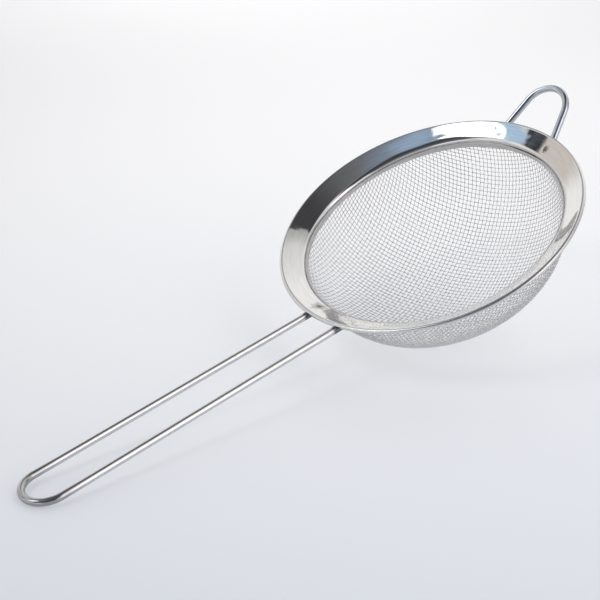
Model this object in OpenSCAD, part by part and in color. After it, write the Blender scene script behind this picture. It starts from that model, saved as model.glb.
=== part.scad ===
// Wire mesh strainer with a stamped funnel rim, a hairpin wire handle and a wire rest loop.
// It is modelled lying as it rests on a table: on the bottom of the bowl and the end of the handle.
// Millimetres. +Z is up, +X runs from the handle to the rest loop, and Y = 0 is the plane of symmetry.

/* [Rim] */
// Outside diameter of the rim
rim_d = 120; // [100:1:150]
// Distance from the outer edge of the rim in to the mouth of the bowl
flange_w = 9.55; // [8:0.05:14]
// Slope of the funnel face of the rim, in degrees
flange_slope = 30; // [29:0.5:32]
// Thickness of the stamped sheet
sheet_t = 0.4; // [0.3:0.05:0.6]
// Radius of the rolled outer lip
lip_r = 1; // [0.8:0.1:1.4]
// Height of the short skirt under the rolled lip
skirt_h = 0.2; // [0.1:0.1:1]
// Radius of the long curve at the inner side of the funnel face
blend_r = 5; // [3:0.5:6]
// Radius of the bend between that curve and the collar
bend_r = 1.4; // [1:0.1:1.8]
// Height of the collar that hangs from that bend
collar_h = 1.2; // [1:0.1:4]

/* [Mesh bowl] */
// Depth of the bowl below the top of the rim
bowl_depth = 41.7; // [30:0.1:48]
// Thickness of the sheet that stands for the woven cloth
cloth_t = 0.3; // [0.2:0.05:0.8]
// Thickness of the band that pins the edge of the cloth
band_t = 0.35; // [0.3:0.05:0.6]
// Height of that band
band_h = 2.1; // [1.8:0.1:4]
// Height of the band's top above the foot of the bend
band_rise = 0.7; // [0.4:0.1:1]

/* [Handle] */
// Diameter of the handle and loop wire
wire_d = 2.8; // [2.2:0.1:3.2]
// Length of the handle from the rim to the middle of its end bend
handle_len = 129.6; // [100:0.1:180]
// Rise of the handle out of the plane of the rim, in degrees
handle_rise = 13.6; // [8:0.1:18]
// Half the distance between the handle's two legs at the rim
handle_root = 8.1; // [6:0.1:12]
// Radius of the handle's end bend
handle_end_r = 8.9; // [7:0.1:12]
// Drop of the handle wire below the top of the rim, where it passes under the lip
handle_drop = 1.97; // [1.9:0.01:2.2]

/* [Rest loop] */
// Length of the loop from the rim to the middle of its end bend
loop_len = 18.7; // [16:0.1:30]
// Rise of the loop out of the plane of the rim, in degrees
loop_rise = 22.4; // [15:0.1:25]
// Half the distance between the loop's two legs at the rim
loop_root = 11.9; // [10.5:0.1:14]
// Radius of the loop's end bend
loop_end_r = 9.75; // [8:0.05:10.2]
// Drop of the loop wire below the top of the rim, where it passes under the lip
loop_drop = 1.45; // [1.4:0.01:1.7]

/* [Welds] */
// Radius of each spot weld
weld_r = 1.1; // [0.8:0.1:1.3]
// Distance of the weld from the inner end of its wire
weld_in = 1.4; // [1.3:0.1:1.6]

/* [Hidden] */

$fn = 96;
wire_r = wire_d / 2;
R = rim_d / 2;
mouth_r = R - flange_w;
collar_r = mouth_r + band_t + cloth_t;
gap = 0.05;          // clear space between a wire and the sheet it lies under
root_bend = 6;       // centreline radius of the bend at the root of each leg
steps = 10;          // straight pieces in each small arc of the rim's section
bowl_steps = 40;     // straight pieces in the bowl's section

// Section of the rim, seen as (radius, height). The top of the lip is at height 0.
function on(c, r, a) = [c[0] + r * cos(a), c[1] + r * sin(a)];
lip_c = [R - lip_r, -lip_r];
slope_top = on(lip_c, lip_r, 90 + flange_slope);
bend_from = 59;      // slope at which the long curve passes into the bend
slope_in = collar_r + bend_r - (blend_r - bend_r) * cos(90 + bend_from) + blend_r * cos(90 + flange_slope);
bend_z = slope_top[1] - (slope_top[0] - slope_in) * tan(flange_slope)
    + (blend_r - bend_r) * sin(90 + bend_from) - blend_r * sin(90 + flange_slope);
bend_c = [collar_r + bend_r, bend_z];
blend_c = on(bend_c, bend_r - blend_r, 90 + bend_from);
collar_z = bend_z - collar_h;
flange_section = concat(
    [[R, -lip_r - skirt_h]],
    [for (i = [0:steps]) on(lip_c, lip_r, (90 + flange_slope) * i / steps)],
    [for (i = [0:steps]) on(blend_c, blend_r, 90 + flange_slope + (bend_from - flange_slope) * i / steps)],
    [for (i = [1:steps]) on(bend_c, bend_r, 90 + bend_from + (90 - bend_from) * i / steps)],
    [[collar_r, collar_z], [collar_r + sheet_t, collar_z]],
    [for (i = [steps:-1:1]) on(bend_c, bend_r - sheet_t, 90 + bend_from + (90 - bend_from) * i / steps)],
    [for (i = [steps:-1:0]) on(blend_c, blend_r - sheet_t, 90 + flange_slope + (bend_from - flange_slope) * i / steps)],
    [for (i = [steps:-1:0]) on(lip_c, lip_r - sheet_t, (90 + flange_slope) * i / steps)],
    [[R - sheet_t, -lip_r - skirt_h]]);

// Height of the centre of a wire that lies under the funnel face, at a distance r from the axis.
function under(r) = slope_top[1] - (slope_top[0] - r) * tan(flange_slope)
    - (sheet_t + wire_r + gap) / cos(flange_slope);

// Bowl: a half ellipse below the band, with a straight hem that stands up behind the band.
band_top = bend_z + band_rise;
band_bottom = band_top - band_h;
band_r = mouth_r + band_t - 0.02;   // outside of the band, a hair clear of the cloth
hem_z = band_bottom + 0.1;          // height at which the cloth turns straight up
bowl_a = collar_r;
bowl_b = bowl_depth + hem_z;
function bowl_outer(i) = [bowl_a * cos(90 * i / bowl_steps), hem_z - bowl_b * sin(90 * i / bowl_steps)];
function bowl_inner(i) = [(bowl_a - cloth_t) * cos(90 * i / bowl_steps),
    hem_z - (bowl_b - cloth_t) * sin(90 * i / bowl_steps)];
hem_press = 0.05;                   // the hem is pressed this much thinner at its edge
bowl_section = concat(
    [[bowl_a - cloth_t + hem_press, band_top - 0.35], [bowl_a, band_top - 0.35]],
    [for (i = [0:bowl_steps]) i == bowl_steps ? [0, -bowl_depth] : bowl_outer(i)],
    [for (i = [bowl_steps:-1:0]) i == bowl_steps ? [0, cloth_t - bowl_depth] : bowl_inner(i)]);

// How far the wire's hairpin legs lean towards each other on the way to the rim.
function lean(len, root, end_r) = asin(end_r / norm([len - end_r, root])) - atan2(root, len - end_r);
function tangent(end_r, lean) = [end_r + end_r * sin(lean), end_r * cos(lean)];
// A point of a hairpin's own plane, in the frame of the rim, with x measured outwards.
function in_rim(p, len, rise, drop) =
    [R + (len - p[0]) * cos(rise) - p[2] * sin(rise), p[1], -drop + (len - p[0]) * sin(rise) + p[2] * cos(rise)];
function leg_point(s, len, root, end_r) = let (k = lean(len, root, end_r), t = tangent(end_r, k))
    [t[0] + s * cos(k), t[1] - s * sin(k), 0];
function above(p) = p[2] - under(norm([p[0], p[1]]));
// Length of the straight leg, from the end bend to where it meets the line under the funnel face.
function leg_length(len, root, end_r, rise, drop, lo, hi, n = 40) = let (m = (lo + hi) / 2) n == 0 ? m
    : above(in_rim(leg_point(m, len, root, end_r), len, rise, drop)) > 0
    ? leg_length(len, root, end_r, rise, drop, lo, m, n - 1)
    : leg_length(len, root, end_r, rise, drop, m, hi, n - 1);
// End of the root, which runs on from the leg and turns down by b degrees.
function root_point(s, b, len, root, end_r, cut) = let (k = lean(len, root, end_r), p = leg_point(s, len, root, end_r))
    [p[0] + cut * cos(b) * cos(k), p[1] - cut * cos(b) * sin(k), -cut * sin(b)];
function root_turn(s, len, root, end_r, rise, drop, cut, lo = 0, hi = 40, n = 40) = let (m = (lo + hi) / 2) n == 0 ? m
    : above(in_rim(root_point(s, m, len, root, end_r, cut), len, rise, drop)) > 0
    ? root_turn(s, len, root, end_r, rise, drop, cut, m, hi, n - 1)
    : root_turn(s, len, root, end_r, rise, drop, cut, lo, m, n - 1);

root_cut = 4.8;      // length of the handle's root, from the bend to its end
loop_cut = 1.6;      // length of the loop's root
handle_s = leg_length(handle_len, handle_root, handle_end_r, handle_rise, handle_drop,
    handle_len - handle_end_r - 4, handle_len - handle_end_r + 9);
handle_turn = root_turn(handle_s, handle_len, handle_root, handle_end_r, handle_rise, handle_drop, root_cut);
loop_s = leg_length(loop_len, loop_root, loop_end_r, loop_rise, loop_drop,
    loop_len - loop_end_r - 1, loop_len - loop_end_r + 12);
loop_turn = root_turn(loop_s, loop_len, loop_root, loop_end_r, loop_rise, loop_drop, loop_cut);

// Resting pose: the tilt at which the bowl and the end of the handle touch one level plane.
handle_tip = [-R - handle_len * cos(handle_rise), -handle_drop + handle_len * sin(handle_rise)];
loop_tip = [R + loop_len * cos(loop_rise), -loop_drop + loop_len * sin(loop_rise)];
function bowl_reach(t) = max([for (i = [0:bowl_steps]) bowl_outer(i)[0] * sin(t) - bowl_outer(i)[1] * cos(t)]);
function tip_reach(t) = -handle_tip[0] * sin(t) - handle_tip[1] * cos(t) + wire_r;
function rest_tilt(lo = 2, hi = 45, n = 40) = let (m = (lo + hi) / 2) n == 0 ? m
    : bowl_reach(m) > tip_reach(m) ? rest_tilt(m, hi, n - 1) : rest_tilt(lo, m, n - 1);
tilt = rest_tilt();
lift = bowl_reach(tilt);
function level_x(p) = p[0] * cos(tilt) - p[1] * sin(tilt);
middle_x = (level_x(handle_tip) + level_x(loop_tip)) / 2;

module at_rest() translate([-middle_x, 0, lift]) rotate([0, -tilt, 0]) children();

// Straight wire along +X, and a bend of it that turns down, with what follows on its end.
// A straight is thinner than a bend by a hair and runs a little way into it, so the two fuse cleanly.
module rod(l, r) rotate([0, 90, 0]) cylinder(r = r, h = l);
module straight(l, into = 0.2) translate([-0.2, 0, 0]) rod(l + 0.2 + into, wire_r - 0.01);
module turn_down(b) {
    translate([0, 0, -root_bend]) rotate([90, 0, 0]) rotate([0, 0, 90 - b])
        rotate_extrude(angle = b) translate([root_bend, 0]) circle(r = wire_r);
    past_bend(b) children();
}
module past_bend(b) translate([root_bend * sin(b), 0, root_bend * (cos(b) - 1)]) rotate([0, b, 0]) children();
// Places what follows at the outer end of one leg, looking along the leg to the rim.
module at_leg(len, root, end_r, side) {
    k = lean(len, root, end_r);
    t = tangent(end_r, k);
    translate([t[0], side * t[1], 0]) rotate([0, 0, -side * k]) children();
}
// A whole hairpin in its own plane: the end bend, two legs and two roots that turn down under the rim.
module hairpin(len, root, end_r, s, b, cut) {
    k = lean(len, root, end_r);
    lost = root_bend * tan(b / 2);
    translate([end_r, 0, 0]) rotate([0, 0, 90 - k])
        rotate_extrude(angle = 180 + 2 * k) translate([end_r, 0]) circle(r = wire_r);
    for (side = [1, -1]) at_leg(len, root, end_r, side) {
        straight(s - lost);
        translate([s - lost, 0, 0]) turn_down(b) straight(cut - lost, 0);
    }
}
// Puts a hairpin's plane on the loop's side of the rim. Turned half round, that is the handle's side.
module loop_side(len = loop_len, rise = loop_rise, drop = loop_drop)
    translate([R + len * cos(rise), 0, -drop + len * sin(rise)]) rotate([0, -rise, 0]) rotate([0, 0, 180]) children();
module handle_side() rotate([0, 0, 180]) loop_side(handle_len, handle_rise, handle_drop) children();

// A fused pad between the top of a wire's root and the underside of the funnel face.
module weld_pad(len, root, end_r, s, b, cut, side) {
    lost = root_bend * tan(b / 2);
    at_leg(len, root, end_r, side) translate([s - lost, 0, 0]) past_bend(b)
        translate([cut - lost - weld_in, 0, 0]) difference() {
            translate([0, 0, wire_r - 0.5]) cylinder(r = weld_r, h = 0.5 + gap - 0.02);
            translate([-5, 0, 0]) rod(10, wire_r);
        }
}

// Notch in the lip's skirt that lets one leg pass under the lip.
module leg_notch(len, root, end_r, side) at_leg(len, root, end_r, side)
    translate([len - end_r - 2.5, 0, 0]) rod(4, wire_r + 0.12);

// Stamped ring: rolled lip, funnel face and collar in one sheet.
module rim_flange() color("gainsboro") at_rest() difference() {
    rotate_extrude() polygon(flange_section);
    for (side = [1, -1]) {
        handle_side() leg_notch(handle_len, handle_root, handle_end_r, side);
        loop_side() leg_notch(loop_len, loop_root, loop_end_r, side);
    }
}

// Plain ring that pins the edge of the cloth against the collar. It is the mouth of the bowl.
module mesh_clamp_band() color("darkgray") at_rest() translate([0, 0, band_bottom]) difference() {
    cylinder(r = band_r, h = band_h);
    translate([0, 0, -1]) cylinder(r = mouth_r, h = band_h + 2);
}

// Woven cloth as a thin closed sheet of the same shape.
module mesh_bowl() color("silver") at_rest() rotate_extrude() polygon(bowl_section);

// One length of wire bent into a hairpin. Its two ends lie under the funnel face.
module handle_wire() color("lightgray") at_rest() handle_side()
    hairpin(handle_len, handle_root, handle_end_r, handle_s, handle_turn, root_cut);

// A short hairpin on the far side, which rests on the edge of a pan or hangs on a hook.
module rest_loop() color("lightgray") at_rest() loop_side()
    hairpin(loop_len, loop_root, loop_end_r, loop_s, loop_turn, loop_cut);

module handle_welds() color("gray") at_rest() for (side = [1, -1]) handle_side()
    weld_pad(handle_len, handle_root, handle_end_r, handle_s, handle_turn, root_cut, side);

module loop_welds() color("gray") at_rest() for (side = [1, -1]) loop_side()
    weld_pad(loop_len, loop_root, loop_end_r, loop_s, loop_turn, loop_cut, side);

rim_flange();
mesh_clamp_band();
mesh_bowl();
handle_wire();
rest_loop();
handle_welds();
loop_welds();
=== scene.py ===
import math

import bpy
import numpy as np
from mathutils import Matrix, Vector

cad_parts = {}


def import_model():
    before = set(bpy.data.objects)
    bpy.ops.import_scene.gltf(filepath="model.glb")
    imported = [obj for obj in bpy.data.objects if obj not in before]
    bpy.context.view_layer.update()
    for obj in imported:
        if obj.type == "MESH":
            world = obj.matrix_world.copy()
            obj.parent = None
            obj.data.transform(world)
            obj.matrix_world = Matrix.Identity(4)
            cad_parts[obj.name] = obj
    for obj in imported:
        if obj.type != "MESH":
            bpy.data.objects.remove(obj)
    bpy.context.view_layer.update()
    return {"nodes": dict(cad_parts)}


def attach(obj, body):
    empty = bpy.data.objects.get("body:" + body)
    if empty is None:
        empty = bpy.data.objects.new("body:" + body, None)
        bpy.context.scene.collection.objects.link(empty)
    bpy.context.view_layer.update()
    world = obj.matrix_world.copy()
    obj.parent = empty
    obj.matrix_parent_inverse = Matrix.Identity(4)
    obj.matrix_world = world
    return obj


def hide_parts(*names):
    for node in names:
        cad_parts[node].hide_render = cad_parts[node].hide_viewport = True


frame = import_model()
rad = math.radians
rng = np.random.default_rng(7)

# ---------------------------------------------------------------- sizes, in millimetres, in the frame of the rim
RIM_R, SHEET_T, LIP_R, SKIRT_H, SLOPE = 60.0, 0.4, 1.0, 0.2, 30.0
BLEND_R, BEND_R, BEND_FROM, COLLAR_H = 5.0, 1.4, 59.0, 1.2
MOUTH_R = RIM_R - 9.55
BAND_T, BAND_H, BAND_RISE, CLOTH_T, BOWL_DEPTH = 0.35, 2.1, 0.7, 0.3, 41.7
WIRE_R = 1.4
COLLAR_R = MOUTH_R + BAND_T + CLOTH_T
HANDLE = dict(len=129.6, rise=13.6, root=8.1, end_r=8.9, drop=1.97, cut=4.8, side=-1)
LOOP = dict(len=18.7, rise=22.4, root=11.9, end_r=9.75, drop=1.45, cut=1.6, side=1)
GAP, ROOT_BEND, WELD_IN = 0.05, 6.0, 1.4


def on(c, r, a):
    return (c[0] + r * math.cos(rad(a)), c[1] + r * math.sin(rad(a)))


LIP_C = (RIM_R - LIP_R, -LIP_R)
TOP = on(LIP_C, LIP_R, 90 + SLOPE)
SLOPE_IN = (COLLAR_R + BEND_R - (BLEND_R - BEND_R) * math.cos(rad(90 + BEND_FROM)) + BLEND_R * math.cos(rad(90 + SLOPE)))
BEND_Z = (TOP[1] - (TOP[0] - SLOPE_IN) * math.tan(rad(SLOPE))
          + (BLEND_R - BEND_R) * math.sin(rad(90 + BEND_FROM)) - BLEND_R * math.sin(rad(90 + SLOPE)))
BEND_C = (COLLAR_R + BEND_R, BEND_Z)
BLEND_C = on(BEND_C, BEND_R - BLEND_R, 90 + BEND_FROM)
COLLAR_Z = BEND_Z - COLLAR_H
BAND_TOP = BEND_Z + BAND_RISE
BAND_BOTTOM = BAND_TOP - BAND_H
HEM_Z = BAND_BOTTOM + 0.1
BOWL_B = BOWL_DEPTH + HEM_Z


def tip(w):
    return (w["side"] * (RIM_R + w["len"] * math.cos(rad(w["rise"]))), -w["drop"] + w["len"] * math.sin(rad(w["rise"])))


def bowl_reach(t):
    return max(COLLAR_R * math.cos(rad(2.25 * i)) * math.sin(t) - (HEM_Z - BOWL_B * math.sin(rad(2.25 * i))) * math.cos(t)
               for i in range(41))


lo, hi = rad(2), rad(45)
for _ in range(60):
    TILT = (lo + hi) / 2
    h = tip(HANDLE)
    if bowl_reach(TILT) > -h[0] * math.sin(TILT) - h[1] * math.cos(TILT) + WIRE_R:
        lo = TILT
    else:
        hi = TILT
LIFT = bowl_reach(TILT)
CT, ST = math.cos(TILT), math.sin(TILT)
MIDDLE = sum(p[0] * CT - p[1] * ST for p in (tip(HANDLE), tip(LOOP))) / 2
TURN = np.array([[CT, 0, -ST], [0, 1, 0], [ST, 0, CT]])
SHIFT = np.array([-MIDDLE, 0, LIFT])


def world(p):
    """Points in the frame of the rim, in millimetres, to the row frame, in metres."""
    return (np.asarray(p, float) @ TURN.T + SHIFT) / 1000.0


# ---------------------------------------------------------------- meshes
def make_mesh(name, verts, blocks, uvs=None, smooth=True):
    """One closed mesh from several blocks of faces, each an array with one row of corners per face."""
    me = bpy.data.meshes.new(name)
    verts = np.asarray(verts, np.float32)
    blocks = [np.asarray(b, np.int32) for b in blocks if len(b)]
    corners = np.concatenate([b.ravel() for b in blocks])
    totals = np.concatenate([np.full(len(b), b.shape[1], np.int32) for b in blocks])
    starts = np.r_[0, np.cumsum(totals)[:-1]].astype(np.int32)
    me.vertices.add(len(verts))
    me.vertices.foreach_set("co", verts.ravel())
    me.loops.add(len(corners))
    me.loops.foreach_set("vertex_index", corners)
    me.polygons.add(len(totals))
    me.polygons.foreach_set("loop_start", starts)
    me.update(calc_edges=True)
    if uvs is not None:
        layer = me.uv_layers.new(name="UVMap")
        flat = np.concatenate([np.asarray(u, np.float32).reshape(-1, 2) for u in uvs])
        layer.uv.foreach_set("vector", flat.ravel())
    me.validate()
    if smooth:
        me.shade_smooth()
    ob = bpy.data.objects.new(name, me)
    bpy.context.scene.collection.objects.link(ob)
    return ob


def lathe(name, rings, thetas):
    """A closed ring from an array of sections: rings[k] is the section at thetas[k], as rows of (radius, height)."""
    nt, ns = len(thetas), rings.shape[1]
    c, s = np.cos(thetas)[:, None], np.sin(thetas)[:, None]
    v = np.stack([rings[..., 0] * c, rings[..., 0] * s, rings[..., 1]], -1).reshape(-1, 3)
    i, j = np.meshgrid(np.arange(nt), np.arange(ns), indexing="ij")
    i2, j2 = (i + 1) % nt, (j + 1) % ns
    quads = np.stack([i * ns + j, i2 * ns + j, i2 * ns + j2, i * ns + j2], -1).reshape(-1, 4)
    length = np.r_[0, np.cumsum(np.linalg.norm(np.diff(rings[0], axis=0, append=rings[0][:1]), axis=1))]
    around = np.r_[thetas, thetas[0] + 2 * math.pi] * RIM_R
    uv = np.stack([np.stack([around[i], length[j]], -1), np.stack([around[i + 1], length[j]], -1),
                   np.stack([around[i + 1], length[j + 1]], -1), np.stack([around[i], length[j + 1]], -1)], -2)
    return make_mesh(name, world(v), [quads], [uv.reshape(-1, 2) / 1000.0])


def sweep(name, paths, radius, sides, normals=None, ends=True):
    """Round wire along each path, in millimetres. normals gives each path's up direction; without it the ring is carried along."""
    verts, quads, caps, uvq, uvc, base = [], [], [], [], [], 0
    a = 2 * math.pi * np.arange(sides) / sides
    for k, p in enumerate(paths):
        p = np.asarray(p, float)
        t = np.gradient(p, axis=0)
        t /= np.linalg.norm(t, axis=1)[:, None]
        if normals is None:
            n = np.zeros_like(p)
            up = np.cross(t[0], [0, 1, 0])
            for q in range(len(p)):
                up = up - (up @ t[q]) * t[q]
                up /= np.linalg.norm(up)
                n[q] = up
        else:
            n = normals[k] - (normals[k] * t).sum(1)[:, None] * t
            n /= np.linalg.norm(n, axis=1)[:, None]
        b = np.cross(t, n)
        r = np.broadcast_to(np.asarray(radius[k] if isinstance(radius, list) else radius, float), (len(p),))
        ring = p[:, None] + r[:, None, None] * (np.cos(a)[None, :, None] * n[:, None] + np.sin(a)[None, :, None] * b[:, None])
        m = len(p)
        verts.append(ring.reshape(-1, 3))
        i, j = np.meshgrid(np.arange(m - 1), np.arange(sides), indexing="ij")
        j2 = (j + 1) % sides
        quads.append(base + np.stack([i * sides + j, i * sides + j2, (i + 1) * sides + j2, (i + 1) * sides + j], -1).reshape(-1, 4))
        s = np.r_[0, np.cumsum(np.linalg.norm(np.diff(p, axis=0), axis=1))]
        u0, u1 = j / sides, (j + 1) / sides
        uvq.append(np.stack([np.stack([u0, s[i]], -1), np.stack([u1, s[i]], -1),
                             np.stack([u1, s[i + 1]], -1), np.stack([u0, s[i + 1]], -1)], -2).reshape(-1, 2))
        caps.append(base + np.arange(sides)[::-1])
        caps.append(base + (m - 1) * sides + np.arange(sides))
        uvc.append(np.tile([0.0, 0.0], (sides, 1)))
        uvc.append(np.tile([0.0, s[-1]], (sides, 1)))
        base += m * sides
    uv = [np.concatenate(uvq) * [1, 0.001], np.concatenate(uvc) * [1, 0.001]]
    return make_mesh(name, world(np.concatenate(verts)), [np.concatenate(quads), np.array(caps)], uv)


# ---------------------------------------------------------------- hairpins: handle and rest loop
def lean(w):
    return math.asin(w["end_r"] / math.hypot(w["len"] - w["end_r"], w["root"])) - math.atan2(w["root"], w["len"] - w["end_r"])


def in_rim(p, w):
    """A point of a hairpin's own plane, with x measured from its end bend towards the rim, to the frame of the rim."""
    c, s = math.cos(rad(w["rise"])), math.sin(rad(w["rise"]))
    x = RIM_R + (w["len"] - p[0]) * c - p[2] * s
    return np.array([w["side"] * x, w["side"] * p[1], -w["drop"] + (w["len"] - p[0]) * s + p[2] * c])


def under(r):
    return TOP[1] - (TOP[0] - r) * math.tan(rad(SLOPE)) - (SHEET_T + WIRE_R + GAP) / math.cos(rad(SLOPE))


def above(p):
    return p[2] - under(math.hypot(p[0], p[1]))


def leg(w, s, down=0.0, cut=0.0):
    k = lean(w)
    t = (w["end_r"] + w["end_r"] * math.sin(k), w["end_r"] * math.cos(k))
    a = s + cut * math.cos(down)
    return np.array([t[0] + a * math.cos(k), t[1] - a * math.sin(k), -cut * math.sin(down)])


def solve(f, lo, hi):
    for _ in range(60):
        m = (lo + hi) / 2
        lo, hi = (m, hi) if f(m) else (lo, m)
    return (lo + hi) / 2


def hairpin(w):
    """Centreline of one hairpin, from one root to the other, in the frame of the rim."""
    k = lean(w)
    free = w["len"] - w["end_r"]
    w["s"] = s = solve(lambda m: above(in_rim(leg(w, m), w)) <= 0, free - 4, free + 12)
    w["turn"] = b = solve(lambda m: above(in_rim(leg(w, s, m, w["cut"]), w)) > 0, 0.0, rad(40))
    lost = ROOT_BEND * math.tan(b / 2)
    half = []
    for u in np.linspace(w["cut"], lost, 8)[:-1]:
        half.append(leg(w, s, b, u))
    centre = leg(w, s - lost) + np.array([0, 0, -ROOT_BEND])
    along = np.array([math.cos(k), -math.sin(k), 0])
    for a in np.linspace(b, 0, 12):
        half.append(centre + ROOT_BEND * (math.sin(a) * along + np.array([0, 0, math.cos(a)])))
    straight = max(4, int((s - lost) / 4))
    for u in np.linspace(s - lost, 0, straight)[1:]:
        half.append(leg(w, u))
    half = np.array(half)
    arc = np.linspace(90 - math.degrees(k), 270 + math.degrees(k), 97)[1:-1]
    bend = np.array([[w["end_r"] + w["end_r"] * math.cos(rad(x)), w["end_r"] * math.sin(rad(x)), 0] for x in arc])
    other = half[::-1] * [1, -1, 1]
    return np.array([in_rim(p, w) for p in np.concatenate([half, bend, other])])


def rounded_ends(p, r):
    """Adds a short chamfer at both ends of a wire, and gives the radius along it."""
    d0, d1 = p[0] - p[1], p[-1] - p[-2]
    d0, d1 = d0 / np.linalg.norm(d0), d1 / np.linalg.norm(d1)
    steps = [(0.0, 0.80), (0.10, 0.93), (0.25, 1.0)]
    first = [p[0] - d0 * a for a, _ in steps]
    last = [p[-1] - d1 * a for a, _ in steps[::-1]]
    q = np.concatenate([first, p[1:-1], last])
    rr = np.full(len(q), r)
    rr[:3] = [r * f for _, f in steps]
    rr[-3:] = [r * f for _, f in steps[::-1]]
    return q, rr


wires = {}
for name, w in (("loop_rod", LOOP), ("handle_rod", HANDLE)):
    line, rr = rounded_ends(hairpin(w), WIRE_R)
    len_handle = np.linalg.norm(np.diff(line, axis=0), axis=1).sum()
    wires[name] = sweep(name, [line], [rr], 40)


def root_axis(w, side):
    """Two points on the axis of one leg near the rim, and the middle of its weld on top of the root."""
    flip = np.array([1, side, 1])
    a, b = in_rim(leg(w, w["s"] - 6) * flip, w), in_rim(leg(w, w["s"]) * flip, w)
    weld = in_rim(leg(w, w["s"], w["turn"], w["cut"] - WELD_IN) * flip, w)
    r = math.hypot(weld[0], weld[1])
    weld[:2] *= 1 - (SHEET_T + WIRE_R + GAP) * math.sin(rad(SLOPE)) / r      # from the wire's axis up to the face
    return a, (b - a) / np.linalg.norm(b - a), weld


roots = [root_axis(w, side) for w in (HANDLE, LOOP) for side in (1, -1)]

# ---------------------------------------------------------------- rim: rolled lip, funnel face and collar in one sheet
thetas = [np.arange(0, 360, 0.5)]
for a, d, weld in roots:
    t_leg = a + d * ((RIM_R - math.hypot(a[0], a[1])) / (math.hypot(*(a + d)[:2]) - math.hypot(a[0], a[1])))
    for q in (t_leg, weld):
        mid = math.degrees(math.atan2(q[1], q[0])) % 360
        thetas.append(np.arange(mid - 2.2, mid + 2.2, 0.17) % 360)
thetas = np.unique(np.round(np.concatenate(thetas), 2))
thetas = thetas[np.r_[True, np.diff(thetas) > 0.05]]
thetas = np.radians(thetas)


def arc(c, r, a0, a1, n):
    a = np.radians(np.linspace(a0, a1, n))
    return np.stack([c[0] + r * np.cos(a), c[1] + r * np.sin(a)], -1)


edge = 0.09
n_lip, n_face, n_arc = 24, 20, 30


def rim_section(bend, slide, first=None):
    """Closed section of the rim. The bend between face and collar may start with a wider curve of radius first. slide moves
    bend and collar up the face."""
    cr = COLLAR_R + slide
    first = first or bend
    mid = 90 + SLOPE + 14
    start = cr + bend + (bend - first) * math.cos(rad(mid)) + first * math.cos(rad(90 + SLOPE))
    c = (cr + bend, TOP[1] - (TOP[0] - start) * math.tan(rad(SLOPE)) - (bend - first) * math.sin(rad(mid))
         - first * math.sin(rad(90 + SLOPE)))
    c1 = on(c, bend - first, mid)
    outer_lip = np.concatenate([[[RIM_R, -LIP_R - SKIRT_H + edge], [RIM_R, -LIP_R - SKIRT_H / 2]],
                                arc(LIP_C, LIP_R, 0, 90 + SLOPE, n_lip - 2)])
    turn = np.concatenate([arc(c1, first, 90 + SLOPE, mid, 12), arc(c, bend, mid, 180, n_arc - 11)[1:]])
    face = np.array(TOP) + (turn[0] - np.array(TOP)) * np.linspace(0, 1, n_face + 2)[1:-1, None]
    collar = np.array([[cr, COLLAR_Z + edge], [cr + 0.03, COLLAR_Z + 0.02], [cr + 0.12, COLLAR_Z], [cr + SHEET_T - 0.12, COLLAR_Z],
                       [cr + SHEET_T - 0.03, COLLAR_Z + 0.02], [cr + SHEET_T, COLLAR_Z + edge]])
    inner_turn = np.concatenate([arc(c, bend - SHEET_T, 180, mid, 10), arc(c1, first - SHEET_T, mid, 90 + SLOPE, 5)[1:]])
    inner_lip = np.concatenate([arc(LIP_C, LIP_R - SHEET_T, 90 + SLOPE, 0, 9),
                                [[RIM_R - SHEET_T, -LIP_R - SKIRT_H / 2], [RIM_R - SHEET_T, -LIP_R - SKIRT_H + edge]]])
    under_face = inner_turn[-1] + (inner_lip[0] - inner_turn[-1]) * np.linspace(0, 1, 8)[1:-1, None]
    skirt_end = np.array([[RIM_R - SHEET_T + 0.03, -LIP_R - SKIRT_H + 0.02], [RIM_R - SHEET_T + 0.12, -LIP_R - SKIRT_H],
                          [RIM_R - 0.12, -LIP_R - SKIRT_H], [RIM_R - 0.03, -LIP_R - SKIRT_H + 0.02]])
    return np.concatenate([outer_lip, face, turn, collar, inner_turn, under_face, inner_lip, skirt_end]), c[1], outer_lip, inner_lip


def slow(table, t):
    """A value that changes slowly round the rim, from rows of (degrees, value)."""
    d, v = np.array(table, float).T
    d, v = np.r_[d - 360, d, d + 360], np.r_[v, v, v]
    x = np.degrees(np.asarray(t, float)) % 360
    return sum(np.interp(x + o, d, v) * k for o, k in ((-8, 1), (-4, 2), (0, 3), (4, 2), (8, 1))) / 9


# The pressing isn't quite true: its inner edge is off the middle and its bend is tighter in some places than in others.
SLIDE = [(0, 0.45), (15, 0.80), (30, 0.90), (45, 0.50), (60, 0.25), (75, -0.27), (90, -0.40), (105, -0.40), (120, -0.05), (150, 0.0),
         (180, -0.20), (205, -0.30), (230, -0.25), (270, -0.10), (320, 0.0), (340, 0.20)]
EASE = [(0, 0.0), (16, 0.2), (30, 1.0), (66, 1.0), (80, 0.6), (95, 0.5), (112, 0.0), (180, 0.0)]
BEND = [(0, 2.3), (30, 2.4), (45, 2.05), (60, 2.35), (75, 1.9), (90, 2.0), (105, 1.55), (118, 1.45), (150, 1.4), (320, 1.4), (345, 1.9)]
s_00, foot_00, outer_lip, inner_lip = rim_section(1.4, 0.0)
s_b, foot_b, _, _ = rim_section(2.4, 0.0)
s_s, foot_s, _, _ = rim_section(1.4, 1.0)
s_e, foot_e, _, _ = rim_section(1.4, 0.0, 6.0)
section = s_00
n_in0 = len(section) - 4 - len(inner_lip)


def foot(t):
    """Height of the foot of the bend, where the upright collar starts."""
    return (foot_00 + (slow(BEND, t) - 1.4) * (foot_b - foot_00) + slow(SLIDE, t) * (foot_s - foot_00)
            + slow(EASE, t) * (foot_e - foot_00))


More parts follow.
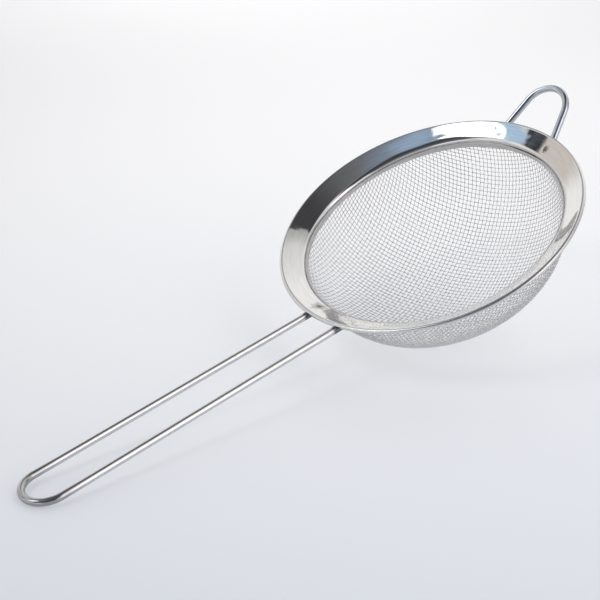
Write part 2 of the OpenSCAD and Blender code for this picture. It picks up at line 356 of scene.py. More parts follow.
rings = (s_00[None] + (slow(BEND, thetas) - 1.4)[:, None, None] * (s_b - s_00)[None]
         + slow(SLIDE, thetas)[:, None, None] * (s_s - s_00)[None] + slow(EASE, thetas)[:, None, None] * (s_e - s_00)[None])


def along(points, d):
    s = np.r_[0, np.cumsum(np.linalg.norm(np.diff(points, axis=0), axis=1))]
    return np.stack([np.interp(d, s, points[:, 0]), np.interp(d, s, points[:, 1])], -1), s


# The skirt is cut away where each wire passes under the lip: the two walls of the lip start higher there.
notch_r = WIRE_R + 0.13
for k, th in enumerate(thetas):
    for a, d, _ in roots:
        if math.cos(th - math.atan2(a[1], a[0])) < 0.99:
            continue
        for chain, first in ((outer_lip, 0), (inner_lip[::-1], None)):
            q, s = along(chain, np.linspace(0, 2.2, 120))
            p3 = np.stack([q[:, 0] * math.cos(th), q[:, 0] * math.sin(th), q[:, 1]], -1) - a
            inside = np.linalg.norm(p3 - (p3 @ d)[:, None] * d, axis=1) < notch_r
            if not inside.any():
                continue
            start = np.linspace(0, 2.2, 120)[np.where(inside)[0].max()]
            new, _ = along(chain, start + (s[-1] - start) * s / s[-1])
            if first == 0:
                rings[k, :n_lip] = new
            else:
                rings[k, n_in0:n_in0 + len(inner_lip)] = new[::-1]
    lo_o, lo_i = rings[k, 0], rings[k, n_in0 + len(inner_lip) - 1]
    drop = np.array([0.07, edge, edge, 0.07])[:, None] * [0, 1]
    rings[k, -4:] = lo_i + (lo_o - lo_i) * np.array([[0.07], [0.3], [0.7], [0.93]]) - drop

# The pressed face is slightly crowned, it has slow, shallow waves, and there is a small dent over each weld. The whole
# sheet moves, so it keeps its thickness.
width = TOP[0] - COLLAR_R
q = np.clip((TOP[0] - section[:, 0]) / width, 0, 1)               # 0 at the lip, 1 at the collar
inward = (section[:, 0] < TOP[0]) & (section[:, 1] > COLLAR_Z + 0.3)
across = np.where(inward, np.sin(math.pi * np.clip(q / 0.97, 0, 1)) ** 2, 0)
crown = np.where(inward, np.sin(math.pi * np.clip(q / 0.82, 0, 1)), 0)
lever = np.where(inward, np.sin(2 * math.pi * np.clip(q / 0.97, 0, 1)), 0)


def bell(mid, half, soft):
    """1 within half degrees of mid, round the rim, with soft edges."""
    d = np.abs((np.degrees(thetas) - mid + 180) % 360 - 180)
    k = np.clip((half + soft - d) / (2 * soft), 0, 1)
    return k * k * (3 - 2 * k)


wave = np.zeros(len(thetas))
for n, amp, ph in ((3, 0.020, 0.4), (5, 0.016, 2.1), (9, 0.012, 4.0), (14, 0.009, 1.2), (23, 0.006, 5.1), (37, 0.003, 3.3)):
    wave += amp * np.sin(n * thetas + ph)
twist = np.zeros(len(thetas))
for n, amp, ph in ((2, 0.012, 1.0), (7, 0.010, 0.2), (11, 0.009, 2.9), (19, 0.006, 1.9), (31, 0.004, 0.7)):
    twist += amp * np.sin(n * thetas + ph)
arch = 0.05 - 0.14 * bell(-66, 16, 8) + 0.07 * bell(-102, 12, 8)         # hollow, not crowned, on the right of the near side
rings[..., 1] += wave[:, None] * across + twist[:, None] * lever + arch[:, None] * crown
lumps = np.zeros(rings.shape[:2])
px, py = rings[..., 0] * np.cos(thetas)[:, None], rings[..., 0] * np.sin(thetas)[:, None]
for kx, ky, ph in ((0.9, 0.5, 0.3), (-0.4, 1.3, 2.2), (1.5, -0.8, 4.1), (0.3, 2.1, 1.1), (2.3, 0.9, 5.0)):
    lumps += np.sin(kx * px + ky * py + ph) / math.hypot(kx, ky)
rings[..., 1] += (0.0010 + 0.006 * bell(8, 17, 8) + 0.009 * bell(172.5, 3, 3))[:, None] * lumps * across
dents = [(w[0], w[1], depth) for (_, _, w), depth in zip(roots, (0.012, 0.11, 0.05, 0.12))]
for (x, y, depth), long, ring in zip(dents, (1.0, 1.0, 2.2, 1.0), (0.2, 0.2, 0.1, 0.07)):
    out_r = math.hypot(x, y)                  # long: how far a dent is drawn out round the rim
    d2 = ((px - x) * x / out_r + (py - y) * y / out_r) ** 2 + ((py - y) * x / out_r - (px - x) * y / out_r) ** 2 / long ** 2
    hit = -depth * np.exp(-d2 / (2 * 0.45 ** 2)) + ring * depth * np.exp(-(np.sqrt(d2) - 1.4) ** 2 / (2 * 0.5 ** 2))
    rings[..., 1] += hit * inward
rim = lathe("rim_pressing", rings, thetas)

# ---------------------------------------------------------------- clamp band
b0, b1, r0, r1, e = BAND_BOTTOM, BAND_TOP, MOUTH_R, MOUTH_R + BAND_T - 0.02, 0.1
band_section = np.concatenate([
    arc((r0 + e, b0 + e), e, 180, 270, 5), arc((r1 - e, b0 + e), e, 270, 360, 5),
    [[r1, b0 + f * (b1 - b0)] for f in (0.25, 0.5, 0.75, 0.87)],
    arc((r1 - e, b1 - e), e, 0, 90, 5), arc((r0 + e, b1 - e), e, 90, 180, 5),
    [[r0, b1 - f * (b1 - b0)] for f in (0.15, 0.3, 0.45, 0.6, 0.75, 0.88)]])
band_t = np.radians(np.arange(0, 360, 0.5))
band_rings = np.repeat(band_section[None], len(band_t), 0)
ripple = 0.012 * np.sin(29 * band_t) + 0.010 * np.sin(53 * band_t + 1.0) + 0.008 * np.sin(91 * band_t + 2.0)
band_rings[..., 0] += ripple[:, None] * (band_section[:, 0] < r0 + 0.05)
flare = np.clip((band_section[:, 1] - (b1 - 0.24)) / 0.08, 0, 1) * (band_section[:, 0] > (r0 + r1) / 2)
open_part = np.clip((np.abs((np.degrees(band_t) + 4 + 180) % 360 - 180) - 6) / 8, 0, 1)
band_rings[..., 0] += 0.27 * flare[None] * open_part[:, None]
band_top = foot(band_t) + 0.12 + 0.20 * np.clip((np.abs((np.degrees(band_t) + 4 + 180) % 360 - 180) - 6) / 8, 0, 1)
band_rings[..., 1] = b0 + (band_rings[..., 1] - b0) * ((band_top - b0) / (b1 - b0))[:, None]
band_rings[..., 0] += slow(SLIDE, band_t)[:, None]
band = lathe("clamp_ring", band_rings, band_t)

# ---------------------------------------------------------------- woven cloth: a fishnet of equal cells over the bowl
PITCH, CLOTH_WIRE_R = 1.67, 0.14
A_MID, B_MID = COLLAR_R - 2 * CLOTH_WIRE_R + 0.0, BOWL_B - 2 * CLOTH_WIRE_R
A_HEM = COLLAR_R - CLOTH_T / 2
NODES_N = 47


def surface(x):
    """Value and gradient of the middle surface of the cloth: half an ellipsoid that runs on upwards as a cylinder."""
    z = np.minimum(x[..., 2] - HEM_Z, 0)
    f = (x[..., 0] ** 2 + x[..., 1] ** 2) / A_MID ** 2 + z ** 2 / B_MID ** 2 - 1
    g = np.stack([2 * x[..., 0] / A_MID ** 2, 2 * x[..., 1] / A_MID ** 2, 2 * z / B_MID ** 2], -1)
    return f, g


fine = np.linspace(0, math.pi / 2, 4000)
mr, mz = A_MID * np.sin(fine), HEM_Z - B_MID * np.cos(fine)
ms = np.r_[0, np.cumsum(np.hypot(np.diff(mr), np.diff(mz)))]


def meridian(s, angle):
    r = np.interp(s, ms, mr)
    z = np.interp(s, ms, mz) + np.maximum(s - ms[-1], 0)
    return np.stack([r * math.cos(angle), r * math.sin(angle), z], -1)


N = NODES_N
net = np.full((2 * N + 1, 2 * N + 1, 3), np.nan)
WARP_A, WEFT_A = rad(106), rad(16)
steps = PITCH * np.arange(0, N + 1)
for sgn in (1, -1):
    net[N + sgn * np.arange(N + 1), N] = meridian(steps, WEFT_A if sgn > 0 else WEFT_A + math.pi)
    net[N, N + sgn * np.arange(N + 1)] = meridian(steps, WARP_A if sgn > 0 else WARP_A + math.pi)
for si in (1, -1):
    for sj in (1, -1):
        for total in range(2, 2 * N + 1):
            i = np.arange(max(1, total - N), min(N, total - 1) + 1)
            j = total - i
            a = net[N + si * (i - 1), N + sj * j]
            b = net[N + si * i, N + sj * (j - 1)]
            c = net[N + si * (i - 1), N + sj * (j - 1)]
            x = a + b - c
            for _ in range(12):
                fx, g = surface(x)
                jac = np.stack([2 * (x - a), 2 * (x - b), g], -2)
                res = np.stack([((x - a) ** 2).sum(-1) - PITCH ** 2, ((x - b) ** 2).sum(-1) - PITCH ** 2, fx], -1)
                det = np.abs(np.linalg.det(jac))
                jac[det < 1e-9] += np.eye(3) * 1e-3
                step = np.linalg.solve(jac, res[..., None])[..., 0]
                x = x - np.clip(step, -0.6, 0.6)
            net[N + si * i, N + sj * j] = x

# Small, slow errors of the hand-set cloth, in its own surface.
gi, gj = np.meshgrid(np.arange(2 * N + 1), np.arange(2 * N + 1), indexing="ij")
tangent = []
for n, m, ph in ((0.11, 0.07, 0.3), (0.23, -0.17, 1.9), (-0.31, 0.41, 4.4)):
    tangent.append(np.sin(n * gi + m * gj + ph))
ex = np.cross(surface(net)[1], np.array([0.3, 1.0, 0.1]))
ex /= np.linalg.norm(ex, axis=-1)[..., None]
ey = np.cross(surface(net)[1], ex)
ey /= np.linalg.norm(ey, axis=-1)[..., None]
net = net + 0.07 * tangent[0][..., None] * ex + 0.06 * tangent[1][..., None] * ey + 0.035 * tangent[2][..., None] * (ex - ey)
net = net + 0.018 * rng.standard_normal(net.shape[:2])[..., None] * ex + 0.018 * rng.standard_normal(net.shape[:2])[..., None] * ey


def z_cut(x, y):
    """Height at which the cloth is cut: just below the top of the band, a little lower on the far side."""
    t = np.arctan2(y, x)
    d = np.abs((np.degrees(t) + 4 + 180) % 360 - 180)
    low = np.clip((14 - d) / 8, 0, 1)
    return foot(t) - 0.02 - 0.5 * low


def cloth_lines(points, parity):
    """Wires that run along the second index of points, as wavy centrelines with the cloth's normal along them."""
    lines, ups = [], []
    for i in range(points.shape[0]):
        p = points[i]
        if not np.isfinite(p).all():
            continue
        cut = z_cut(p[:, 0], p[:, 1])
        if p[N, 2] > cut[N] - 0.2:
            continue
        ends = []
        for sgn in (1, -1):
            j = N
            while 0 < j < 2 * N and p[j, 2] <= cut[j]:
                j += sgn
            za, zb = p[j - sgn, 2], p[j, 2]
            ends.append(j - sgn + sgn * float(np.clip((cut[j] - za) / (zb - za + 1e-9), 0, 1)))
        j0, j1 = min(ends), max(ends)
        if j1 - j0 < 2:
            continue
        t = np.linspace(j0, j1, max(8, int(round((j1 - j0) * 5)) + 1))
        k = np.clip(np.floor(t).astype(int), 1, 2 * N - 2)
        u = (t - k)[:, None]
        q0, q1, q2, q3 = p[k - 1], p[k], p[k + 1], p[k + 2]
        line = 0.5 * (2 * q1 + (q2 - q0) * u + (2 * q0 - 5 * q1 + 4 * q2 - q3) * u ** 2 + (3 * q1 - q0 - 3 * q2 + q3) * u ** 3)
        up = surface(line)[1]
        up /= np.linalg.norm(up, axis=1)[:, None]
        hem = np.clip((line[:, 2] - (BAND_BOTTOM - 0.6)) / 0.9, 0, 1)
        hem = hem * hem * (3 - 2 * hem)
        wave = CLOTH_WIRE_R * np.cos(math.pi * (t + i)) * parity * (1 - 0.85 * hem)
        rr = np.linalg.norm(line[:, :2], axis=1)
        line = line + up * wave[:, None]
        high = np.clip((line[:, 2] - (BAND_BOTTOM - 10)) / 9.5, 0, 1)
        move = hem * (A_HEM - A_MID) + high * high * (3 - 2 * high) * slow(SLIDE, np.arctan2(line[:, 1], line[:, 0]))
        line[:, :2] *= (1 + move / rr)[:, None]
        lines.append(line)
        ups.append(up)
    return lines, ups


cloth = {}
for name, points, parity in (("cloth_warp", net, 1), ("cloth_weft", np.swapaxes(net, 0, 1), -1)):
    lines, ups = cloth_lines(points, parity)
    half = len(lines) // 2
    for tag, part in (("a", slice(0, half)), ("b", slice(half, None))):
        cloth[name + "_" + tag] = sweep(name + "_" + tag, lines[part], CLOTH_WIRE_R, 6, ups[part])


# ---------------------------------------------------------------- materials
class Nodes:
    def __init__(self, tree):
        self.t = tree
        tree.nodes.clear()

    def add(self, kind, inputs=None, **attrs):
        n = self.t.nodes.new(kind)
        for k, v in attrs.items():
            setattr(n, k, v)
        for k, v in (inputs or {}).items():
            if isinstance(v, bpy.types.NodeSocket):
                self.t.links.new(v, n.inputs[k])
            else:
                n.inputs[k].default_value = v
        return n

    def math(self, op, a, b=0.0, c=0.0):
        n = self.add("ShaderNodeMath", operation=op)
        for k, v in enumerate((a, b, c)):
            if isinstance(v, bpy.types.NodeSocket):
                self.t.links.new(v, n.inputs[k])
            else:
                n.inputs[k].default_value = v
        return n.outputs[0]

    def remap(self, v, a, b, c, d, smooth=True):
        n = self.add("ShaderNodeMapRange", {"From Min": a, "From Max": b, "To Min": c, "To Max": d, "Value": v},
                     interpolation_type="SMOOTHSTEP" if smooth else "LINEAR")
        return n.outputs["Result"]

    def mix(self, fac, a, b):
        n = self.add("ShaderNodeMix", data_type="RGBA")
        for k, v in ((0, fac), (6, a), (7, b)):
            if isinstance(v, bpy.types.NodeSocket):
                self.t.links.new(v, n.inputs[k])
            else:
                n.inputs[k].default_value = v
        return n.outputs[2]

    def noise(self, vector, scale, detail=3.0, rough=0.55, distortion=0.0):
        n = self.add("ShaderNodeTexNoise", {"Vector": vector, "Scale": scale, "Detail": detail, "Roughness": rough,
                                            "Distortion": distortion})
        return n.outputs["Fac"]


def grey(v, tint=(1, 1, 1)):
    return (v * tint[0], v * tint[1], v * tint[2], 1)


def metal(name, specular=0.5, anisotropic=0.0):
    m = bpy.data.materials.new(name)
    m.use_nodes = True
    n = Nodes(m.node_tree)
    out = n.add("ShaderNodeOutputMaterial")
    bsdf = n.add("ShaderNodeBsdfPrincipled")
    bsdf.inputs["Metallic"].default_value = 1.0
    bsdf.inputs["Anisotropic"].default_value = anisotropic
    m.node_tree.links.new(bsdf.outputs[0], out.inputs[0])
    return m, n, bsdf


def rim_coords(n):
    """Radius, height and direction round the rim, in millimetres, worked out from the position."""
    pos = n.add("ShaderNodeTexCoord").outputs["Object"]
    moved = n.add("ShaderNodeVectorMath", {0: pos, 1: tuple(-SHIFT / 1000.0)}, operation="ADD").outputs[0]
    turned = n.add("ShaderNodeVectorRotate", {"Vector": moved, "Axis": (0, 1, 0), "Angle": TILT}, rotation_type="AXIS_ANGLE").outputs[0]
    mm = n.add("ShaderNodeVectorMath", {0: turned, "Scale": 1000.0}, operation="SCALE").outputs[0]
    xyz = n.add("ShaderNodeSeparateXYZ", {0: mm})
    x, y, z = xyz.outputs
    r = n.math("SQRT", n.math("ADD", n.math("MULTIPLY", x, x), n.math("MULTIPLY", y, y)))
    return mm, x, y, z, r, n.math("DIVIDE", x, r), n.math("DIVIDE", y, r)


def vec(n, x, y, z):
    c = n.add("ShaderNodeCombineXYZ")
    for k, v in enumerate((x, y, z)):
        if isinstance(v, bpy.types.NodeSocket):
            n.t.links.new(v, c.inputs[k])
        else:
            c.inputs[k].default_value = v
    return c.outputs[0]


def polished_rim():
    m, n, bsdf = metal("polished_rim_steel")
    mm, x, y, z, r, c, s = rim_coords(n)
    # fine lines left by polishing on the lathe: short across the face, long round it
    lines = n.noise(vec(n, n.math("MULTIPLY", r, 9.0), n.math("MULTIPLY", c, 14.0), n.math("MULTIPLY", s, 14.0)), 1.0, 4.0, 0.6)
    broad = n.noise(vec(n, n.math("MULTIPLY", r, 1.3), n.math("MULTIPLY", c, 6.0), n.math("MULTIPLY", s, 6.0)), 1.0, 2.0)
    smear = n.noise(mm, 0.11, 3.0, 0.5, 0.6)
    specks = n.noise(mm, 2.3, 2.0, 0.5)
    rough = n.math("ADD", n.remap(smear, 0.45, 0.75, 0.045, 0.11), n.remap(lines, 0.5, 0.8, 0.0, 0.03))
    satin = n.math("MULTIPLY", n.remap(r, COLLAR_R + 0.6, COLLAR_R + 1.5, 1.0, 0.0),
                   n.remap(n.math("ADD", n.math("MULTIPLY", c, 0.766), n.math("MULTIPLY", s, -0.643)), 0.80, 0.92, 0.0, 1.0))
    rough = n.math("ADD", rough, n.math("MULTIPLY", satin, 0.34))
    rough = n.math("ADD", rough, n.remap(r, 58.6, 59.3, 0.0, 0.22))          # the rolled lip is only brushed
    cross = n.noise(vec(n, n.math("MULTIPLY", r, 0.30), n.math("MULTIPLY", c, 52.0), n.math("MULTIPLY", s, 52.0)), 1.0, 3.0, 0.6)
    heat = None
    for dx, dy, depth in dents:
        d = n.add("ShaderNodeVectorMath", {0: vec(n, x, y, 0.0), 1: (dx, dy, 0.0)}, operation="DISTANCE").outputs["Value"]
        wob = n.math("ADD", d, n.remap(specks, 0.3, 0.7, -0.5, 0.5))
        h = n.math("MULTIPLY", n.remap(wob, 0.3, 1.6, 1.0, 0.0), depth / 0.12)
        heat = h if heat is None else n.math("MAXIMUM", heat, h)
    on_top = n.remap(z, -5.9, -5.2, 0.0, 1.0)
    sx, sy, _ = dents[1]                      # the scorched patch round the clearest weld
    d = n.add("ShaderNodeVectorMath", {0: vec(n, x, y, 0.0), 1: (sx, sy, 0.0)}, operation="DISTANCE").outputs["Value"]
    patch = n.remap(n.math("ADD", d, n.remap(n.noise(mm, 0.75, 3.0, 0.6), 0.3, 0.7, -1.5, 1.5)), 1.9, 3.6, 1.0, 0.0)
    patch = n.math("MULTIPLY", n.math("MULTIPLY", patch, on_top), n.remap(specks, 0.35, 0.6, 0.45, 1.0))
    heat = n.math("MULTIPLY", heat, on_top)
    base = n.mix(n.remap(broad, 0.35, 0.7, 0.0, 1.0), grey(0.64, (1, 1, 1.0)), grey(0.60, (1, 0.995, 0.985)))
    base = n.mix(n.math("MULTIPLY", patch, 0.55), base, (0.27, 0.26, 0.25, 1))
    base = n.mix(n.math("MULTIPLY", heat, 0.92), base, (0.10, 0.09, 0.085, 1))
    rough = n.math("ADD", rough, n.math("MULTIPLY", patch, 0.22))
    n.t.links.new(base, bsdf.inputs["Base Color"])
    n.t.links.new(n.math("ADD", rough, n.math("MULTIPLY", heat, 0.22)), bsdf.inputs["Roughness"])
    height = n.math("ADD", n.math("MULTIPLY", lines, 0.08), n.math("ADD", n.math("ADD", n.math("MULTIPLY", broad, 0.6), n.math("MULTIPLY", cross, 0.35)), n.math("MULTIPLY", smear, 3.0)))
    bump = n.add("ShaderNodeBump", {"Height": height, "Strength": 0.35, "Distance": 0.00002})
    n.t.links.new(bump.outputs[0], bsdf.inputs["Normal"])
    return m


def matte_band():
    m, n, bsdf = metal("matte_band_steel")
    mm, x, y, z, r, c, s = rim_coords(n)
    lines = n.noise(vec(n, n.math("MULTIPLY", z, 5.0), n.math("MULTIPLY", c, 30.0), n.math("MULTIPLY", s, 30.0)), 1.0, 4.0, 0.65)
    grain = n.noise(mm, 3.1, 4.0, 0.6)
    patch = n.noise(mm, 0.16, 2.0)
    base = n.mix(n.remap(grain, 0.3, 0.7, 0.0, 1.0), grey(0.66, (1, 0.975, 0.945)), grey(0.56, (1, 0.98, 0.96)))
    base = n.mix(n.remap(patch, 0.35, 0.65, 0.0, 0.35), base, grey(0.70, (1, 0.985, 0.96)))
    n.t.links.new(base, bsdf.inputs["Base Color"])
    n.t.links.new(n.remap(lines, 0.3, 0.7, 0.36, 0.56), bsdf.inputs["Roughness"])
    bump = n.add("ShaderNodeBump", {"Height": n.math("ADD", lines, n.math("MULTIPLY", grain, 0.7)), "Strength": 0.6, "Distance": 0.00006})
    n.t.links.new(bump.outputs[0], bsdf.inputs["Normal"])
    return m


def drawn_wire(name, light, dark, rough_lo, rough_hi, around, bump_mm, scratch, painted_dark_reflection=None, tint=None):
    """Wire pulled through a die: lines that run along it, worked out from its own length and turn."""
    m, n, bsdf = metal(name)
    uv = n.add("ShaderNodeSeparateXYZ", {0: n.add("ShaderNodeTexCoord").outputs["UV"]})
    turn = n.math("MULTIPLY", uv.outputs[0], 2 * math.pi)
    c, s = n.math("COSINE", turn), n.math("SINE", turn)
    v = n.math("MULTIPLY", uv.outputs[1], 1000.0)
    lines = n.noise(vec(n, n.math("MULTIPLY", c, around), n.math("MULTIPLY", s, around), n.math("MULTIPLY", v, 0.12)), 1.0, 4.0, 0.6)
    tone = n.noise(vec(n, n.math("MULTIPLY", c, 1.2), n.math("MULTIPLY", s, 1.2), n.math("MULTIPLY", v, 0.35)), 1.0, 3.0)
    base = n.mix(n.remap(tone, 0.3, 0.7, 0.0, 1.0), light, dark)
    if painted_dark_reflection:                                  # a stretch of wire with painted darker reflection: (middle, half length, how dark)
        off = n.math("ABSOLUTE", n.math("SUBTRACT", v, painted_dark_reflection[0]))
        base = n.mix(n.math("MULTIPLY", n.remap(off, painted_dark_reflection[1], painted_dark_reflection[1] * 0.4, 0.0, 1.0), painted_dark_reflection[2]), base, (0.12, 0.12, 0.13, 1))
    if tint:                                 # painted shade near both ends, where the wire goes under the lip: (whole length, from, to, how dark)
        end = n.math("MINIMUM", v, n.math("SUBTRACT", tint[0], v))
        base = n.mix(n.math("MULTIPLY", n.remap(end, tint[1], tint[2], 1.0, 0.0), tint[3]), base, (0.055, 0.06, 0.08, 1))
    n.t.links.new(base, bsdf.inputs["Base Color"])
    n.t.links.new(n.math("ADD", n.remap(tone, 0.35, 0.75, rough_lo, rough_hi), n.remap(lines, 0.55, 0.8, 0.0, scratch)), bsdf.inputs["Roughness"])
    bump = n.add("ShaderNodeBump", {"Height": lines, "Strength": 0.5, "Distance": bump_mm / 1000.0})
    n.t.links.new(bump.outputs[0], bsdf.inputs["Normal"])
    return m


def weld_metal():
    m, n, bsdf = metal("weld_steel")
    pos = n.add("ShaderNodeTexCoord").outputs["Object"]
    grain = n.noise(pos, 2200.0, 4.0, 0.6)
    tone = n.noise(pos, 700.0, 2.0)
    base = n.mix(n.remap(tone, 0.3, 0.7, 0.0, 1.0), (0.34, 0.31, 0.28, 1), (0.20, 0.20, 0.24, 1))
    n.t.links.new(base, bsdf.inputs["Base Color"])
    n.t.links.new(n.remap(grain, 0.3, 0.7, 0.38, 0.62), bsdf.inputs["Roughness"])
    bump = n.add("ShaderNodeBump", {"Height": grain, "Strength": 0.7, "Distance": 0.00008})
    n.t.links.new(bump.outputs[0], bsdf.inputs["Normal"])
    return m


rim_m, band_m, weld_m = polished_rim(), matte_band(), weld_metal()
# the handle has painted darker reflection round its end bend, and painted shade near both ends where it goes under the
# lip
bright_m = drawn_wire("bright_wire_steel", grey(0.64), grey(0.58, (1, 0.995, 0.99)), 0.13, 0.20, 7.0, 0.010, 0.05,
                      painted_dark_reflection=(len_handle / 2, 26.0, 0.5), tint=(len_handle, 8.2, 9.8, 0.85))
# painted shade and reflection: the loop is a darker, bluer copy of the handle's wire
loop_m = drawn_wire("loop_wire_steel_painted_shade", grey(0.54, (0.94, 0.98, 1.04)), grey(0.47, (0.93, 0.98, 1.05)), 0.10, 0.17, 7.0, 0.010, 0.05)
cloth_m = drawn_wire("woven_wire_steel", grey(0.71, (1, 0.995, 1.0)), grey(0.59, (1, 1, 1)), 0.12, 0.20, 2.0, 0.004, 0.04)

for ob, mat, slot, nodes in ((rim, rim_m, "polished_rim", ["rim_flange"]), (band, band_m, "matte_band", ["mesh_clamp_band"]),
                             (wires["handle_rod"], bright_m, "bright_wire", ["handle_wire"]),
                             (wires["loop_rod"], loop_m, "bright_wire", ["rest_loop"]),
                             *[(o, cloth_m, "woven_cloth", ["mesh_bowl"]) for o in cloth.values()]):
    ob.data.materials.append(mat)
    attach(ob, "root")
    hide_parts(*nodes)
for name in ("handle_welds", "loop_welds"):
    data = frame["nodes"][name].data
    data.materials.clear()
    data.materials.append(weld_m)

# ---------------------------------------------------------------- floor
floor_m = bpy.data.materials.new("pale_floor")
floor_m.use_nodes = True
n = Nodes(floor_m.node_tree)
out = n.add("ShaderNodeOutputMaterial")
bsdf = n.add("ShaderNodeBsdfPrincipled")
bsdf.inputs["Roughness"].default_value = 0.6
bsdf.inputs["Specular IOR Level"].default_value = 0.15
n.t.links.new(bsdf.outputs[0], out.inputs[0])
pos = n.add("ShaderNodeTexCoord").outputs["Object"]
xyz = n.add("ShaderNodeSeparateXYZ", {0: pos})
depth = n.math("ADD", n.math("MULTIPLY", xyz.outputs[0], 0.55), n.math("MULTIPLY", xyz.outputs[1], 0.835))
# painted shade: the floor's colour is darker and bluer on the near side and paler far off
tone = n.mix(n.remap(depth, -0.22, 0.30, 0.0, 1.0), (0.50, 0.515, 0.54, 1), (0.62, 0.62, 0.62, 1))
tone = n.mix(n.remap(n.noise(pos, 9.0, 2.0), 0.3, 0.7, 0.0, 0.03), tone, (0.5, 0.5, 0.5, 1))
n.t.links.new(tone, bsdf.inputs["Base Color"])
# painted light: the floor glows, more on the far side and bluer near, so the shadows on it stay faint
painted_floor_glow = n.mix(n.remap(depth, -0.22, 0.30, 0.0, 1.0), (0.385, 0.400, 0.430, 1), (0.575, 0.575, 0.58, 1))
across = n.math("ADD", n.math("MULTIPLY", xyz.outputs[0], 0.835), n.math("MULTIPLY", xyz.outputs[1], -0.55))
d = n.math("MINIMUM", n.math("MAXIMUM", depth, -0.15), 0.52)
e = n.math("MINIMUM", n.math("MAXIMUM", across, -0.14), 0.22)


def series(n, x, *terms):
    """terms[0] + x terms[1] + x^2 terms[2] ..., where a term is a number or a socket."""
    out = terms[-1]
    for t in terms[-2::-1]:
        out = n.math("ADD", n.math("MULTIPLY", out, x), t)
    return out


# painted light and shade: a polynomial over the floor's position raises and lowers its glow from place to place
painted_light_fit = series(n, d, series(n, e, -0.041, 0.349, -1.342, -0.90), series(n, e, -0.111, -0.068, -2.731),
                 series(n, e, -1.172, 0.213), 2.582)
painted_floor_glow = n.add("ShaderNodeVectorMath", {0: painted_floor_glow, 1: vec(n, painted_light_fit, painted_light_fit, painted_light_fit)}, operation="ADD").outputs[0]
n.t.links.new(painted_floor_glow, bsdf.inputs["Emission Color"])
bsdf.inputs["Emission Strength"].default_value = 1.0
side = 3.0
gx, gy = np.meshgrid(np.linspace(-side, side, 13), np.linspace(-side, side, 13), indexing="ij")
fv = np.stack([gx.ravel(), gy.ravel(), np.zeros(gx.size)], -1)
i, j = np.meshgrid(np.arange(12), np.arange(12), indexing="ij")
floor = make_mesh("floor", fv, [np.stack([i * 13 + j, (i + 1) * 13 + j, (i + 1) * 13 + j + 1, i * 13 + j + 1], -1).reshape(-1, 4)], smooth=False)
floor.data.materials.append(floor_m)

# ---------------------------------------------------------------- surroundings: soft lights, pale walls and a dark side
world_data = bpy.data.worlds.new("studio")
bpy.context.scene.world = world_data
world_data.use_nodes = True
n = Nodes(world_data.node_tree)
out = n.add("ShaderNodeOutputWorld")
back = n.add("ShaderNodeBackground")
n.t.links.new(back.outputs[0], out.inputs[0])
way = n.add("ShaderNodeTexCoord").outputs["Generated"]
way = n.add("ShaderNodeVectorMath", {0: way}, operation="NORMALIZE").outputs[0]


def direction(az, el):
    return Vector((math.cos(rad(az)) * math.cos(rad(el)), math.sin(rad(az)) * math.cos(rad(el)), math.sin(rad(el))))


def dot(v):
    return n.add("ShaderNodeVectorMath", {0: way, 1: tuple(v)}, operation="DOT_PRODUCT").outputs["Value"]


def panel(colour, az, el, wide, high, soft, value, roll=0.0):
    """Paints a soft-edged rectangle of the surroundings, given by its middle and its half sizes, in degrees."""
    f = direction(az, el)
    side_v = Vector((-math.sin(rad(az)), math.cos(rad(az)), 0))
    up_v = f.cross(side_v)
    c, s = math.cos(rad(roll)), math.sin(rad(roll))
    side_v, up_v = side_v * c + up_v * s, up_v * c - side_v * s
    front = n.math("MAXIMUM", dot(f), 0.02)
    u = n.math("ABSOLUTE", n.math("DIVIDE", dot(side_v), front))
    v = n.math("ABSOLUTE", n.math("DIVIDE", dot(up_v), front))
    tw, th, ts = math.tan(rad(wide)), math.tan(rad(high)), math.tan(rad(soft))
    fac = n.math("MULTIPLY", n.remap(u, tw - ts, tw + ts, 1.0, 0.0), n.remap(v, th - ts, th + ts, 1.0, 0.0))
    fac = n.math("MULTIPLY", fac, n.remap(dot(f), 0.02, 0.10, 0.0, 1.0))
    return n.mix(fac, colour, tuple(value) + (1,))


xyz = n.add("ShaderNodeSeparateXYZ", {0: way})
height = xyz.outputs[2]
# bright white room behind the object, dark on the camera's side and overhead
toward = n.math("ADD", n.math("MULTIPLY", xyz.outputs[0], 0.62), n.math("MULTIPLY", xyz.outputs[1], 0.78))
near = n.mix(n.remap(height, 0.02, 0.55, 0.0, 1.0), (0.50, 0.505, 0.52, 1), (0.15, 0.155, 0.17, 1))
near = n.mix(n.remap(height, 0.50, 0.72, 0.0, 1.0), near, (0.072, 0.074, 0.08, 1))
fall = n.math("ADD", n.remap(height, 0.58, 0.84, 0.0, 0.27, False), n.remap(height, 0.82, 0.90, 0.0, 0.32))
away = n.mix(fall, (1.24, 1.23, 1.21, 1), (0.20, 0.20, 0.20, 1))
base = n.mix(n.remap(toward, -0.45, 0.10, 0.0, 1.0), near, away)
cap = n.mix(n.remap(toward, -0.34, 0.16, 0.0, 1.0), (0.24, 0.245, 0.26, 1), (0.078, 0.078, 0.083, 1))
base = n.mix(n.remap(height, 0.899, 0.907, 0.0, 1.0), base, cap)
base = panel(base, 62, 50, 13, 14, 5, (0.46, 0.46, 0.47))
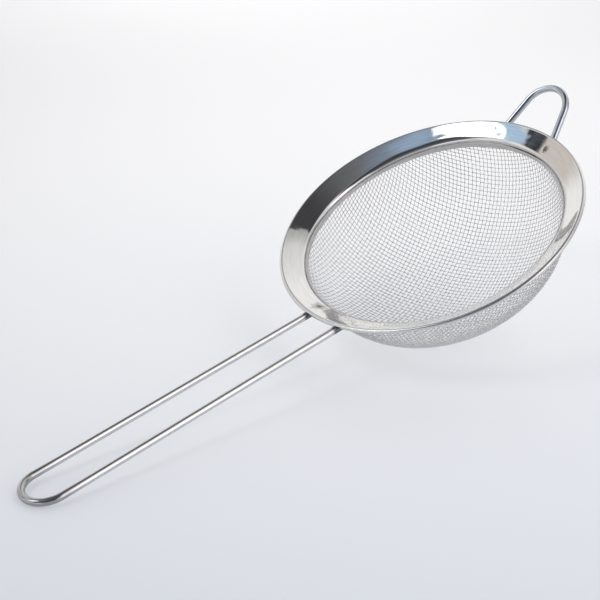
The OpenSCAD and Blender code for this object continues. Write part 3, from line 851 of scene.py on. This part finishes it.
base = panel(base, 116, 60, 30, 8, 4, (0.34, 0.36, 0.40))
base = panel(base, 112, 24, 20, 16, 8, (0.86, 0.80, 0.74))
base = panel(base, 122, 33, 4.5, 5.0, 1.2, (0.05, 0.055, 0.07), 20)
base = panel(base, 135, 39, 6, 9, 2.5, (0.58, 0.80, 1.02))
base = panel(base, -24, 8, 14, 34, 8, (0.52, 0.52, 0.53))
base = panel(base, -46, 54, 13, 15, 5, (1.00, 0.97, 0.98))
base = panel(base, -70, 9, 27, 26, 6, (1.12, 1.10, 1.12))
base = panel(base, -159, 69, 12, 6, 6, (0.28, 0.33, 0.42))
base = panel(base, -176, 61, 9, 7, 6, (0.43, 0.57, 0.76))
base = panel(base, 163, 4, 11, 22, 5, (1.15, 1.15, 1.13))
base = panel(base, -166, 1, 17, 12, 5, (1.35, 1.35, 1.34))
base = panel(base, 152.5, 47.5, 10, 11, 1.1, (3.6, 3.65, 3.75))
base = panel(base, 144.6, 41.5, 1.3, 3.0, 0.9, (0.66, 0.84, 1.05), 25)
base = panel(base, -69, 19, 12, 30, 5, (1.95, 1.84, 1.92))
n.t.links.new(base, back.inputs["Color"])
back.inputs["Strength"].default_value = 1.0

# ---------------------------------------------------------------- camera, from the photograph's angle
spin = Vector((2.0099, -0.97, 0.0216))
RC = np.array(Matrix.Rotation(spin.length, 3, spin.normalized()))
TC = np.array([48.5201, -30.4949, 629.726])
cam_data = bpy.data.cameras.new("camera")
cam = bpy.data.objects.new("camera", cam_data)
bpy.context.scene.collection.objects.link(cam)
cam_data.sensor_width = 36.0
cam_data.lens = 1665.9555 * 36.0 / 600.0
cam_data.clip_start, cam_data.clip_end = 0.01, 20
axes = TURN @ np.array([RC[0], -RC[1], -RC[2]]).T
mat = np.eye(4)
mat[:3, :3] = axes
mat[:3, 3] = world(-RC.T @ TC)
cam.matrix_world = Matrix(mat.tolist())
scene = bpy.context.scene
scene.camera = cam
scene.view_settings.view_transform = "Standard"
scene.view_settings.look = "None"
